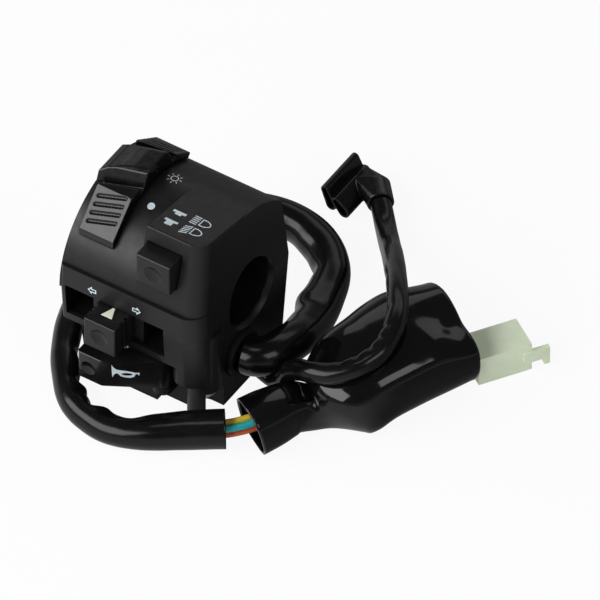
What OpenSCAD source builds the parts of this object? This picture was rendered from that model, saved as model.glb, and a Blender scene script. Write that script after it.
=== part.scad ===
// Left-hand motorbike handlebar switch cluster.
// The bar runs along X, the rider's side faces -Y and +Z is up.
// The origin is on the bar's axis, at the middle of the housing.

/* [Handlebar] */
// Diameter of the handlebar
bar_d = 22.2; // [20.5:0.1:22.6]
// Play between the bar and the half bores, on the radius
bar_play = 0.05; // [0:0.01:0.1]

/* [Housing] */
// Width of the housing along the bar
housing_w = 50.5; // [49.5:0.5:54]
// Radius of the dome about the bar's axis
dome_r = 29.1; // [28.8:0.1:30]
// Distance from the bar's axis to the rear wall
rear_y = 20.3; // [20:0.1:22]
// Distance from the bar's axis down to the base
base_depth = 35; // [34:0.5:38]
// Wall thickness of both shells
wall = 2.2; // [2:0.1:2.4]
// Lean of the upper shell's right end face
end_draft = 6.8; // [5:0.1:8]
// Lean of the lower shell's rear and left walls
lower_draft = 6.9; // [5:0.1:8]
// Distance from the bar's axis to the lower shell's front wall
lower_front = 21.5; // [21:0.1:22.5]
// Depth of the chamfer at each bore mouth
mouth_depth = 2; // [1:0.1:3]
// Widening of the bore mouths, on the radius
mouth_flare = 1.2; // [0.6:0.1:1.5]

/* [Hood] */
// Left edge of the hood from the middle of the housing
hood_left = 0.9; // [0:0.1:2]
// Rise of the hood's panel towards the rider
hood_tilt = 9.8; // [8:0.1:11]
// Distance from the bar's axis to the hood's front edge
hood_front = 21; // [20.5:0.1:22]
// Radius of the corner between front and end face
corner_r = 5.5; // [4:0.5:7]
// Radius of the hood's other edges
hood_edge = 0.9; // [0.5:0.1:1.2]

/* [Turn switch] */
// Distance from the bar's axis to the front of the band
band_front = 29.6; // [29.4:0.1:31]
// Top of the band above the bar's axis
band_top = 9.2; // [9:0.1:10]
// Bottom of the band below the bar's axis
band_bottom = 13; // [12.8:0.1:13.4]
// Step from the housing's left end to the band's
band_inset = 0.5; // [0.2:0.1:0.8]
// Lean of the band's front face away from the split
band_draft = 4; // [2:0.5:5]
// Length of the slot
slot_w = 35.4; // [34:0.2:36]
// Height of the slot
slot_h = 12; // [11.8:0.1:12.4]
// Middle of the slot along the bar
slot_x = -5.2; // [-5.5:0.1:-5]
// Middle of the slot above the bar's axis
slot_z = -4.2; // [-4.4:0.1:-4]
// Edge length of the knob
turn_knob_w = 11.2; // [10.5:0.1:11.4]
// How far the knob stands out of the band
turn_proud = 8.2; // [7:0.1:9]
// Length of the carriage behind the slot
carriage_w = 18; // [17:0.5:18.5]
// Travel of the turn switch to each side
turn_travel = 8; // [6:0.5:8]

/* [Light lever] */
// Right side of the lever from the middle of the housing
lever_right = -9.6; // [-10:0.1:-9.4]
// Width of the thumb pads
lever_w = 12.4; // [12:0.1:12.8]
// How far the middle block reaches past the pads on the left
block_reach = 2.2; // [1:0.1:2.4]
// Direction of the lever's middle, from the top towards the rider
lever_mid = 4.4; // [3:0.1:6]
// Half of the arc that the lever covers
lever_half = 43; // [41:0.5:44]
// Swing of the lever to each side
lever_swing = 13; // [10:0.5:13]
// Gap between lever and dome
lever_gap = 0.3; // [0.25:0.05:0.5]
// Height of the thumb pads over the dome at their ends
pad_rise = 2.3; // [2:0.1:2.6]
// Height of the middle block over the dome
block_rise = 6.4; // [6:0.1:7]
// Skew of the block and the ribs across the lever
lever_skew = 16; // [10:1:18]
// Number of grooves in the front pad
pad_grooves = 4; // [3:1:4]

/* [Dip button] */
// Middle of the button along the bar
dip_x = 8.5; // [8.2:0.1:8.8]
// Middle of the button below the dome's top
dip_drop = 6.5; // [6.3:0.1:6.7]
// Width of the button
dip_w = 12; // [11.5:0.1:12.2]
// Height of the button
dip_h = 11.4; // [11:0.1:11.6]
// Distance from the bar's axis to the button's face
dip_front = 29; // [28:0.1:30]
// Travel of the button
dip_travel = 3.5; // [2:0.1:3.5]

/* [Horn lever] */
// Distance from the bar's axis to the pivot
horn_y = 26.2; // [26:0.1:26.4]
// Height of the lever
horn_h = 10.6; // [10:0.1:11]
// Distance from the bar's axis to the thumb pad's face
horn_front = 38.2; // [37:0.1:39]
// Left end of the thumb pad
horn_left = -13; // [-14:0.1:-12.5]
// Width of the thumb pad
horn_pad_w = 8; // [7:0.1:9]
// Radius of the pivot pin
horn_pin_r = 1.25; // [1:0.05:1.5]

/* [Fasteners and fits] */
// Radius of the housing screws
screw_r = 2; // [1.8:0.1:2.2]
// Radius of the screw heads
screw_head_r = 3.6; // [3.3:0.1:3.8]
// Height of the screw heads
screw_head_h = 2.8; // [2:0.1:3.2]
// Depth of the screw seats below the bar's axis
screw_seat = 24; // [22:0.5:25]
// Clearance round sliding pieces
slide_gap = 0.3; // [0.25:0.05:0.35]
// Clearance of pins and posts in their holes, on the radius
pin_gap = 0.05; // [0.03:0.01:0.08]

/* [Outlet and cords] */
// Radius of the harness sleeve
harness_r = 6.2; // [5.5:0.1:6.3]
// Wall of the PVC sleeves
sleeve_t = 0.8; // [0.6:0.1:1]
// Radius of the harness wires
wire_r = 1.15; // [0.9:0.05:1.2]
// Radius of the clutch lead's sleeve
lead_r = 3.4; // [3:0.1:3.5]
// Width of the connector's socket end
connector_w = 12; // [11:0.1:13]
// Height of the connector's socket end
connector_h = 10.7; // [10:0.1:11]

/* [Hidden] */
$fn = 64;

// A length that reaches past the whole part
far = 120;
// How far a fillet's arc reaches past its two faces
fillet_bite = 0.012;

// Housing, worked out
x_left = -housing_w / 2;
x_right = housing_w / 2;
bore_r = bar_d / 2 + bar_play;
saddle_r = bore_r + wall;
dome_in = dome_r - wall;
end_normal = [cos(end_draft), 0, sin(end_draft)];

// Hood, worked out: the panel's plane touches the dome
hood_top_normal = [0, sin(hood_tilt), cos(hood_tilt)];
hood_edge_z = (dome_r + hood_front * sin(hood_tilt)) / cos(hood_tilt);
hood_lean = atan2(hood_edge_z, hood_front) - acos(dome_r / norm([hood_front, hood_edge_z]));
hood_front_normal = [0, -cos(hood_lean), sin(hood_lean)];

// Turn switch, worked out
slot_left = slot_x - slot_w / 2;
slot_right = slot_x + slot_w / 2;
column_left = slot_right + 1.2;
cavity_front = -band_front + wall;
cavity_bottom = -band_bottom + wall;
cavity_top = band_top - 2;
carriage_front = cavity_front + slide_gap;
carriage_back = -saddle_r - 2.65;
plate_t = 1.6;
turn_plate_back = -saddle_r - slide_gap;
knob_front = -band_front - turn_proud;
turn_ball_r = 1.5;
turn_ball_z = -slot_h / 4;
turn_pocket_depth = 6;

// Light lever, worked out
lever_in = dome_r + lever_gap;
lever_left = lever_right - lever_w;
pad_r = dome_r + pad_rise;
pad_angle = lever_half - 3;
rotor_x0 = lever_left + 1.4;
rotor_x1 = lever_right - 1.9;
rotor_in = 19;
rotor_out = dome_in - 0.4;
rotor_half = 12;
stem_half = 3.2;
stem_x0 = rotor_x0 + 2;
stem_x1 = rotor_x1 - 2;
light_plate_in = saddle_r + slide_gap;
light_plate_out = light_plate_in + plate_t;
bridge_t = 0.4;
post_r = 1.5;
light_ball_r = 1.4;
light_ball_angle = lever_mid + 9;

// Dip button, worked out
dip_z = dome_r - dip_drop;
dip_lip = 0.9;
dip_flange_top = dip_z + dip_h / 2 + dip_lip;
dip_flange_front = (dip_flange_top * sin(hood_lean) - dome_r + wall) / cos(hood_lean) + 0.1;
dip_flange_back = dip_flange_front + 2.6;
dip_stem_r = 2.4;
dip_block_front = -9.5;
dip_block_back = -4;
dip_block_h = 9.6;

// Horn lever, worked out
horn_top = -band_bottom - 0.6;
horn_mid = horn_top - horn_h / 2;
horn_boss_r = 3.1;
horn_x = column_left - horn_boss_r - slide_gap - 0.1;
horn_pad_t = 6.2;
horn_back = -horn_front + horn_pad_t;
horn_lug_t = 2.6;
horn_lug_top = horn_top - horn_h - slide_gap;
horn_spring_x = -6.2;
horn_contact_x = -10.5;

// Screws and outlet, worked out
front_screw = [x_right - 4.2, -20];
rear_screw = [0, saddle_r + 2.5];
front_boss_r = 4.2;
rear_boss_r = 3.8;
seat_r = screw_head_r + 0.6;
seat_wall = 1.1;
thread_top = 12;
outlet = [-7.5, -18.7];
lead_outlet = [-4.5, -25.8];
lead_neck_r = 2.4;
neck_r = harness_r + 0.4;
flange_r = neck_r + 1;
flange_t = 2;
lead_wire_r = 1.1;

// Routes of the cords, with their floor at z = -35; the sleeve's points end with its half width there
harness_route = [
    [27.35, -7.5, -18.7, 6.2], [30.9, -6.5, -18.75, 6.2], [33.5, -3.7, -19.1, 6.2], [34.5, 0.5, -19.9, 6.2],
    [34.7, 8, -22.2, 6.2], [33.8, 16, -25.2, 6.2], [31.9, 25, -27.9, 6.2], [29.2, 34, -28.8, 6.2],
    [25, 44, -28.8, 6.2], [17, 52, -28.8, 6.2], [5, 56.5, -29, 6], [-9, 55, -29.3, 5.7],
    [-21, 47, -29.6, 5.4], [-30, 34, -29.9, 5.1], [-34.5, 18, -30.2, 4.8], [-34.5, 2, -30.4, 4.6],
    [-31.5, -13, -30.5, 4.5], [-25.5, -26, -30.6, 4.4], [-19.5, -34.5, -30.6, 4.4], [-11, -43.2, -30.5, 4.5],
    [0, -46.9, -30.3, 4.7], [8, -46, -30, 5], [16.7, -41.6, -29.4, 5.6], [26, -35, -28.9, 6.1],
    [34.5, -29, -28.8, 6.2]
];
bundle_route = [
    [28.1, -34, -28.8], [34.5, -29.2, -28.6], [39, -25.2, -27.8], [43.3, -19.5, -27],
    [47, -12, -27.4], [52, -6.5, -28.5], [57, 0, -27.6], [64.4, 11.5, -28], [71.6, 23.45, -29.2], [73.8, 26.79, -29.2]
];
clutch_route = [
    [27.3, -4.5, -25.8], [28.8, -4.5, -25.8], [32, -4.2, -27.2], [36, -5, -27.3], [40.3, -6, -23.6],
    [43, -6.2, -18.5], [47, -6.6, -15.6], [52, -7.6, -13.2], [54.5, -6.85, -12.6]
];
lead_route = [
    [43, -6.2, -18.5], [47, -6.6, -15.6], [52, -7.6, -13.2], [58.5, -5.6, -11.6], [64, -1, -9.4],
    [67, 6, -7.6], [66.4, 14, -6.4], [63, 22.5, -6.3], [57.5, 31, -8], [50, 41.5, -12.6],
    [42, 52.5, -19.4], [34, 63, -27], [27, 71.8, -31], [20.4, 79.3, -30.7]
];
// Middle line of the connector sleeve: x, y, z, half width and half height
bag_route = [
    [41.7, -26.1, -26.2, 8.7, 8.7], [44, -20, -26.4, 8.5, 8.5], [47.2, -12, -27.1, 7.6, 7.6],
    [52, -6.5, -28.2, 6.8, 6.7], [55.5, 0, -24.8, 13.4, 10], [58.4, 7, -23, 16.2, 11.8],
    [61.6, 14.5, -22.6, 17, 12.3], [65, 22.5, -22.6, 17, 12.3], [68.8, 30.5, -22.8, 16.6, 12.1],
    [72.7, 38.6, -23.2, 16, 11.7]
];

// Connector, worked out: its frame lies on the floor, s runs to the mating end
connector_at = [78.75, 34.3];
connector_turn = 56.6;
connector_floor = -base_depth;
connector_s = [-9, 2.9, 20.5];
tail_w = connector_w - 2.4;
tail_h = connector_h - 2.3;
tail_lift = 1.6;
socket_wall = 1.2;
socket_depth = 13.5;
pin_len = 5.5;

// Clutch boot, worked out
boot_front = 71.5;
boot_len = 17.7;
boot_wall = 0.7;
channel_depth = 14;
// Each fin in the front view: top and foot from the floor up, with their radii
boot_fins = [
    [[4.9, 8.25, 1.4], [7.2, 2.75, 1.8]],
    [[8.75, 5.25, 1.35], [11.8, 2.1, 2]]
];
collar_r = lead_r + 0.8;
collar_at = lead_route[len(lead_route) - 1];
collar_dir = collar_at - lead_route[len(lead_route) - 2];
collar_turn = atan2(collar_dir[1], collar_dir[0]);
collar_len = 8;

function unit(v) = v / norm(v);

// Extrudes an outline drawn in Y and Z along +X
module along_x(length) {
    rotate([90, 0, 90]) linear_extrude(height = length) children();
}

// Ring sector about the bar, with angles from the top towards the rider
module sector(r0, r1, x0, x1, from_a, to_a) {
    rotate([0, 90, 0]) rotate([0, 0, 180 + from_a])
        rotate_extrude(angle = to_a - from_a) translate([r0, x0]) square([r1 - r0, x1 - x0]);
}

// Turns a piece that stands on the bar to an angle from the top towards the rider
module radial(a) {
    rotate([a, 0, 0]) children();
}

module bar_cylinder(r, x0, x1) {
    translate([x0, 0, 0]) rotate([0, 90, 0]) cylinder(r = r, h = x1 - x0);
}

module y_cylinder(r, x, z, y0, y1) {
    translate([x, y0, z]) rotate([-90, 0, 0]) cylinder(r = r, h = y1 - y0);
}

module box(x0, x1, y0, y1, z0, z1) {
    translate([x0, y0, z0]) cube([x1 - x0, y1 - y0, z1 - z0]);
}

// What a fillet takes off the edge through p between two planes with outward normals
module edge_cut(p, n1, n2, r) {
    spread = acos(n1 * n2);
    e2 = unit(n2 - (n1 * n2) * n1);
    e3 = cross(n1, e2);
    side = r * tan(spread / 2);
    centre = [-r, -side];
    reach = r + 1;
    multmatrix([
        [n1[0], e2[0], e3[0], p[0]],
        [n1[1], e2[1], e3[1], p[1]],
        [n1[2], e2[2], e3[2], p[2]],
        [0, 0, 0, 1]
    ])
    linear_extrude(height = 2 * far, center = true) difference() {
        polygon([
            centre, centre + reach * [1, 0], [1, tan(spread / 2)],
            centre + reach * [cos(spread), sin(spread)]
        ]);
        translate(centre) circle(r + fillet_bite);
    }
}

// Everything behind two planes with outward normals whose common edge, through p, is rounded
module corner_block(p, n1, n2, r) {
    spread = acos(n1 * n2);
    e2 = unit(n2 - (n1 * n2) * n1);
    e3 = cross(n1, e2);
    centre = [-r, -r * tan(spread / 2)];
    reach = r + 1;
    back = far * [-sin(spread), cos(spread)];
    multmatrix([
        [n1[0], e2[0], e3[0], p[0]],
        [n1[1], e2[1], e3[1], p[1]],
        [n1[2], e2[2], e3[2], p[2]],
        [0, 0, 0, 1]
    ])
    linear_extrude(height = 2 * far, center = true) difference() {
        polygon([[0, 0], back, back + [0, -far], [0, -far]]);
        difference() {
            polygon([
                centre, centre + reach * [1, 0], [1, tan(spread / 2)],
                centre + reach * [cos(spread), sin(spread)]
            ]);
            translate(centre) circle(r + fillet_bite);
        }
    }
}

// Everything beyond a plane through p that faces along n
module beyond(p, n) {
    e1 = unit(cross(n, abs(n[2]) < 0.9 ? [0, 0, 1] : [0, 1, 0]));
    e2 = cross(n, e1);
    multmatrix([
        [e1[0], e2[0], n[0], p[0]],
        [e1[1], e2[1], n[1], p[1]],
        [e1[2], e2[2], n[2], p[2]],
        [0, 0, 0, 1]
    ])
    translate([-far, -far, 0]) cube(2 * far);
}

// Bore for the bar with its two chamfered mouths
module bar_bore() {
    bar_cylinder(bore_r, -far, far);
    translate([x_right, 0, 0]) rotate([0, -90, 0])
        cylinder(r1 = bore_r + mouth_flare, r2 = bore_r, h = mouth_depth);
    translate([x_left, 0, 0]) rotate([0, 90, 0])
        cylinder(r1 = bore_r + mouth_flare, r2 = bore_r, h = mouth_depth);
}

// Springs and swept tubes
// Point and frame functions for a tube whose rings stand square to its route
function along(route, i) =
    let (n = len(route) - 1, a = route[max(i - 1, 0)], b = route[min(i + 1, n)])
    unit([b[0] - a[0], b[1] - a[1], b[2] - a[2]]);
function heading(route, i, start) = i == 0 && !is_undef(start) ? start : along(route, i);
function side_of(t) = unit(cross(t, [0, 0, 1]));
function fuller(c, n) = sign(c) * pow(abs(c), 2 / n);
function ring(p, t, a, b, sides, low = 2) =
    let (u = side_of(t), v = cross(u, t))
    [for (k = [0:sides - 1]) let (w = 360 * (k + 0.5) / sides, n = sin(w) < 0 ? low : 2)
        [p[0], p[1], p[2]] + a * fuller(cos(w), n) * u + b * fuller(sin(w), n) * v];
function skin_faces(rings, sides, base, flip) = [
    for (i = [0:rings - 2], k = [0:sides - 1])
        let (p = base + i * sides + k, q = base + i * sides + (k + 1) % sides)
        each (flip ? [[p, q + sides, q], [p, p + sides, q + sides]]
            : [[p, q, q + sides], [p, q + sides, p + sides]])
];
function rim_faces(a, b, sides, flip) = [
    for (k = [0:sides - 1])
        let (p = a + k, q = a + (k + 1) % sides, r = b + k, s = b + (k + 1) % sides)
        each (flip ? [[p, s, r], [p, q, s]] : [[p, r, s], [p, s, q]])
];

// Hollow tube of half width w and half height h along a route, open at both ends
module hollow_tube(route, w, h, t, sides, low = 2, start = undef) {
    n = len(route);
    outer = [for (i = [0:n - 1]) each ring(route[i], heading(route, i, start), w[i], h[i], sides, low)];
    inner = [for (i = [0:n - 1])
        each ring(route[i], heading(route, i, start), w[i] - t, h[i] - t, sides, low)];
    last = (n - 1) * sides;
    polyhedron(points = concat(outer, inner), faces = concat(
        skin_faces(n, sides, 0, false), skin_faces(n, sides, n * sides, true),
        rim_faces(0, n * sides, sides, false), rim_faces(last, n * sides + last, sides, true)
    ));
}

// Solid round tube of radius r along a route
module solid_tube(route, r, sides) {
    n = len(route);
    rings = [for (i = [0:n - 1]) each ring(route[i], along(route, i), r, r, sides)];
    caps = [for (k = [1:sides - 2]) each [[0, k + 1, k],
        [(n - 1) * sides, (n - 1) * sides + k, (n - 1) * sides + k + 1]]];
    polyhedron(points = rings, faces = concat(skin_faces(n, sides, 0, false), caps));
}

// Helical spring from the origin along +Z
spring_rings = 8;
spring_sides = 6;
function coil_point(i, r, pitch) =
    let (a = 360 * i / spring_rings) [r * cos(a), r * sin(a), pitch * i / spring_rings];
function coil_along(i, r, pitch) =
    let (a = 360 * i / spring_rings) unit([-r * sin(a), r * cos(a), pitch / 6.2832]);
module coil(r, wire, length, turns) {
    n = turns * spring_rings;
    pitch = (length - 2 * wire) / turns;
    points = [for (i = [0:n]) let (p = coil_point(i, r, pitch), t = coil_along(i, r, pitch),
        u = [cos(360 * i / spring_rings), sin(360 * i / spring_rings), 0], v = cross(t, u))
        for (k = [0:spring_sides - 1]) p + [0, 0, wire]
            + wire * (cos(360 * k / spring_sides) * u + sin(360 * k / spring_sides) * v)];
    caps = [for (k = [1:spring_sides - 2]) each [[0, k, k + 1],
        [n * spring_sides, n * spring_sides + k + 1, n * spring_sides + k]]];
    polyhedron(points = points, faces = concat(skin_faces(n + 1, spring_sides, 0, true), caps));
    echo(spring_self_gap = pitch - 2 * wire);
}

// Upper shell
// Hood between its panel, its front wall and its end face, all moved in by inset
module hood(inset) {
    top = dome_r - inset;
    front = dome_r - inset;
    p = [x_right - inset / cos(end_draft), -front / cos(hood_lean), 0];
    intersection() {
        translate([hood_left + inset, 0, 0]) along_x(housing_w) polygon([
            [top * sin(hood_tilt), top * cos(hood_tilt)],
            [-far, (top + far * sin(hood_tilt)) / cos(hood_tilt)],
            [-far, 0], [0, 0]
        ]);
        corner_block(p, end_normal, hood_front_normal, corner_r - inset);
        union() {
            box(-far, far, -far, far, band_top - 1, far);
            box(-far, far, -lower_front + inset, far, -far, far);
        }
    }
}

// Band along the front, above the split for way = 1 and below it for way = -1
module band(way) {
    n = [0, -cos(band_draft), way * sin(band_draft)];
    end = way > 0 ? end_normal : [1, 0, 0];
    difference() {
        intersection() {
            box(x_left + band_inset, far, -far, -lower_front + wall,
                way > 0 ? 0 : -band_bottom, way > 0 ? band_top : 0);
            corner_block([x_right, -band_front, 0], end, n, corner_r + 1);
        }
        edge_cut([x_left + band_inset, -band_front, 0], [-1, 0, 0], n, 1.2);
    }
}

module rounded_hood() {
    p = [hood_left, -hood_front, hood_edge_z];
    end_p = [x_right - hood_edge_z * tan(end_draft), -hood_front, hood_edge_z];
    difference() {
        hood(0);
        edge_cut(p, hood_top_normal, hood_front_normal, hood_edge);
        edge_cut(p, [-1, 0, 0], hood_top_normal, hood_edge);
        edge_cut(p, [-1, 0, 0], hood_front_normal, hood_edge);
        edge_cut(end_p, end_normal, hood_top_normal, hood_edge);
    }
}

module upper_outside() {
    difference() {
        union() {
            difference() {
                bar_cylinder(dome_r, x_left, x_right);
                box(-far, far, rear_y, far, -far, far);
                box(hood_left + wall, far, -far, 0, -far, far);
                beyond([x_right, 0, 0], end_normal);
            }
            rounded_hood();
            band(1);
        }
        box(-far, far, -far, far, -far, 0);
    }
}

module upper_inside() {
    difference() {
        union() {
            difference() {
                bar_cylinder(dome_in, x_left + wall, x_right);
                box(hood_left + 2 * wall, far, -far, 0, -far, far);
                beyond([x_right, 0, 0] - wall * end_normal, end_normal);
            }
            hood(wall);
        }
        box(-far, far, rear_y - wall, far, -far, far);
        bar_cylinder(saddle_r, -far, far);
        screw_boss(front_screw, front_boss_r, 0, thread_top + 3);
        screw_boss(rear_screw, rear_boss_r, 0, thread_top + 3);
        box(dip_x - dip_w / 2 + 1, dip_x + dip_w / 2 - 1, dip_block_front + 0.3, dip_block_back - 0.3,
            0, dip_z - dip_block_h / 2);
    }
}

module screw_boss(at, r, z0, z1) {
    translate([at[0], at[1], z0]) cylinder(r = r, h = z1 - z0);
}

// Space behind the slot in which the carriage slides
module turn_space() {
    box(slot_left, slot_right, -far, cavity_front + 1, slot_z - slot_h / 2, slot_z + slot_h / 2);
    box(slot_left, slot_right, cavity_front, -saddle_r - 0.1, cavity_bottom, cavity_top);
}

module dip_hole() {
    box(dip_x - dip_w / 2 - slide_gap, dip_x + dip_w / 2 + slide_gap, -far, dip_flange_back + dip_travel + 0.5,
        dip_z - dip_h / 2 - slide_gap, dip_z + dip_h / 2 + slide_gap);
}

module upper_housing() {
    color("#1b1b1c") difference() {
        upper_outside();
        upper_inside();
        turn_space();
        dip_hole();
        bar_bore();
        // Arc slot for the lever's stem
        sector(dome_in - 1, dome_r + 1, stem_x0 - slide_gap, stem_x1 + slide_gap,
            lever_mid - lever_swing - stem_half - 0.6, lever_mid + lever_swing + stem_half + 0.6);
        for (at = [front_screw, rear_screw])
            translate([at[0], at[1], -1]) cylinder(r = screw_r + pin_gap, h = thread_top + 2);
    }
}

// Lower shell
module lower_block(inset) {
    difference() {
        box(x_left + inset, x_right - inset, -lower_front + inset, rear_y - inset, -base_depth + inset, inset);
        beyond([0, rear_y - inset, 0], [0, cos(lower_draft), -sin(lower_draft)]);
        beyond([x_left + inset, 0, 0], [-cos(lower_draft), 0, -sin(lower_draft)]);
    }
}

// Half-round column below the band's right end
column_front = -band_front + band_bottom * tan(band_draft);
column_bottom = -19.6;
module column() {
    difference() {
        box(column_left, x_right, column_front, -lower_front + wall, column_bottom, -1);
        edge_cut([x_right, column_front, 0], [1, 0, 0], [0, -1, 0], corner_r + 1);
        edge_cut([column_left, column_front, 0], [-1, 0, 0], [0, -1, 0], 4);
    }
}

module lower_outside() {
    difference() {
        union() {
            lower_block(0);
            band(-1);
            column();
            // Lug under the horn lever and the ledge beside it
            translate([horn_x, -horn_y, horn_lug_top - horn_lug_t]) cylinder(r = horn_boss_r, h = horn_lug_t);
            box(horn_x - horn_boss_r, horn_x + horn_boss_r, -horn_y, -lower_front + 1,
                horn_lug_top - horn_lug_t, horn_lug_top);
            box(x_left + 5, horn_x - horn_boss_r, -lower_front - 3.2, -lower_front + 1,
                -base_depth, -base_depth + 5.5);
            // Screw bosses that show on the end face and the rear wall
            screw_boss(front_screw, seat_r + seat_wall, -base_depth, -0.6);
            intersection() {
                screw_boss(rear_screw, seat_r + seat_wall, -base_depth, -0.6);
                box(-far, far, -far, rear_y + 0.8, -far, far);
            }
        }
        box(-far, far, -far, far, 0, far);
    }
}

module outlet_hole(extra) {
    for (hole = [[outlet, neck_r], [lead_outlet, lead_neck_r]])
        translate([x_right - wall - 1, hole[0][0], hole[0][1]]) rotate([0, 90, 0])
            cylinder(r = hole[1] + extra, h = wall + 2);
}

module lower_housing() {
    color("#1b1b1c") difference() {
        lower_outside();
        difference() {
            lower_block(wall);
            bar_cylinder(saddle_r, -far, far);
            screw_boss(front_screw, seat_r + seat_wall, -far, far);
            screw_boss(rear_screw, seat_r + seat_wall, -far, far);
        }
        turn_space();
        bar_bore();
        outlet_hole(pin_gap);
        for (at = [front_screw, rear_screw]) {
            translate([at[0], at[1], -far]) cylinder(r = screw_r + 0.2, h = far + 1);
            translate([at[0], at[1], -base_depth - 1]) cylinder(r = seat_r, h = base_depth + 1 - screw_seat);
        }
        // The front screw's seat is open to the end face
        box(front_screw[0], far, front_screw[1] - seat_r, front_screw[1] + seat_r, -far, -screw_seat);
        translate([horn_x, -horn_y, horn_lug_top - horn_lug_t - 1])
            cylinder(r = horn_pin_r + pin_gap, h = horn_pin_top() - horn_lug_top + horn_lug_t + 1.1);
        y_cylinder(1.6 + pin_gap, horn_contact_x, horn_mid, -lower_front - 1, -lower_front + wall + 1);
    }
}

module housing_screws() {
    color("#8f9294") for (at = [front_screw, rear_screw]) translate([at[0], at[1], 0]) difference() {
        union() {
            translate([0, 0, -screw_seat]) cylinder(r = screw_r, h = screw_seat + thread_top);
            translate([0, 0, -screw_seat - screw_head_h]) cylinder(r = screw_head_r, h = screw_head_h);
        }
        for (a = [0, 90]) translate([0, 0, -screw_seat - screw_head_h]) rotate([0, 0, a])
            cube([4.2, 0.9, 3], center = true);
    }
}

// Light lever
// Point in the YZ plane at an angle from the top towards the rider
function polar(a, r) = [-r * sin(a), r * cos(a)];
front_pad_a = lever_mid + pad_angle;
rear_pad_a = lever_mid - pad_angle;

// Side view of the lever without its block, with an upright lip under the front pad
module lever_outline() {
    tip = lever_half - pad_angle;
    lip = polar(front_pad_a + tip, pad_r / cos(tip));
    polygon([
        lip, polar(front_pad_a - 22.5, pad_r / cos(22.5)),
        polar(lever_mid + 10, pad_r + 1.6), polar(lever_mid - 12, pad_r + 1.4),
        polar(rear_pad_a + 20, pad_r / cos(20)), polar(rear_pad_a - tip, pad_r / cos(tip)),
        polar(rear_pad_a - tip, dome_r - 4), [lip[0] + 0.2, dome_r / 2]
    ]);
}

// Places a piece along the skewed middle of the lever, from its right side
block_y = 4.6 - (dome_r + block_rise) * sin(lever_mid);
module on_skew() {
    translate([lever_right, block_y, 0]) rotate([0, 0, lever_skew]) children();
}

// Valleys before and behind the block, down to a thin plate over the dome
module lever_valley() {
    difference() {
        on_skew() box(-far, far, -9.8, 9.6, dome_r, far);
        bar_cylinder(dome_r + 1.6, -far, far);
    }
}

// Raised block across the lever with sloping sides
module lever_block() {
    top_z = dome_r + block_rise;
    half_top = 5;
    half_foot = 7.4;
    left = lever_left - block_reach;
    intersection() {
        on_skew() translate([-far, 0, 0]) along_x(far + 10) polygon([
            [-half_foot, dome_r - 4], [-half_foot, dome_r + 1.2], [-half_top - 0.5, top_z - 0.9],
            [-half_top + 0.6, top_z], [half_top - 0.6, top_z], [half_top + 0.5, top_z - 0.9],
            [half_foot, dome_r + 1.2], [half_foot, dome_r - 4]
        ]);
        translate([0, far, 0]) rotate([90, 0, 0]) linear_extrude(2 * far) polygon([
            [left, 0], [left, top_z - 2.6], [left + 2.4, top_z - 1.3], [left + 6, top_z - 0.35],
            [lever_right - 2, top_z + 0.3], [lever_right - 0.03, top_z + 0.3], [lever_right - 0.03, 0]
        ]);
    }
}

module pad_groove(a, y) {
    radial(a) translate([(lever_left + lever_right) / 2, y, pad_r + 0.15]) rotate([0, 0, lever_skew])
        rotate([0, 90, 0]) cylinder(r = 0.6, h = lever_w - 2.4, center = true);
}

module light_lever() {
    color("#161617") difference() {
        union() {
            difference() {
                translate([lever_left, 0, 0]) along_x(lever_w) lever_outline();
                lever_valley();
            }
            lever_block();
        }
        bar_cylinder(lever_in, -far, far);
        for (i = [0:pad_grooves - 1]) pad_groove(front_pad_a, 2.8 + 2.75 * i);
        for (i = [0:pad_grooves - 2]) pad_groove(rear_pad_a, -2.8 - 2.75 * i);
    }
}

module light_rotor() {
    color("#d8d4c4") difference() {
        union() {
            sector(rotor_in, rotor_out, rotor_x0, rotor_x1, lever_mid - rotor_half, lever_mid + rotor_half);
            sector(rotor_out - 0.5, lever_in, stem_x0, stem_x1, lever_mid - stem_half, lever_mid + stem_half);
        }
        radial(light_ball_angle) translate([(rotor_x0 + rotor_x1) / 2, 0, rotor_in + 1.5])
            cylinder(r = light_ball_r + 0.1, h = far);
    }
}

module light_detent_ball() {
    color("silver") radial(light_ball_angle)
        translate([(rotor_x0 + rotor_x1) / 2, 0, dome_in - 0.2 - light_ball_r]) sphere(r = light_ball_r);
}

module light_detent_spring() {
    base = rotor_in + 1.5;
    color("silver") radial(light_ball_angle) translate([(rotor_x0 + rotor_x1) / 2, 0, base])
        coil(light_ball_r - 0.4, 0.22, dome_in - 0.3 - 2 * light_ball_r - base, 3);
}

module light_contact_plate() {
    color("#7a5a35") difference() {
        sector(light_plate_in, light_plate_out, rotor_x0, rotor_x1, lever_mid - 38, lever_mid + 38);
        light_posts(pin_gap, far);
    }
}

module light_posts(extra, top) {
    for (a = [-lever_swing - 4, 0, lever_swing + 4])
        radial(lever_mid + a) translate([(rotor_x0 + rotor_x1) / 2, 0, light_plate_in + 0.2])
            cylinder(r = post_r + extra, h = top - light_plate_in - 0.2);
}

module light_terminals() {
    color("goldenrod") light_posts(0, rotor_in - bridge_t - slide_gap);
}

module light_bridge() {
    color("goldenrod") sector(rotor_in - bridge_t, rotor_in, rotor_x0 + 2, rotor_x1 - 2,
        lever_mid - rotor_half + 1, lever_mid + rotor_half - 1);
}

// Dish for the finger tip in a face towards -Y
module finger_dish(x, y, z, r, depth) {
    ball = (r * r + depth * depth) / (2 * depth);
    translate([x, y + depth - ball, z]) sphere(r = ball);
}

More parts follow.
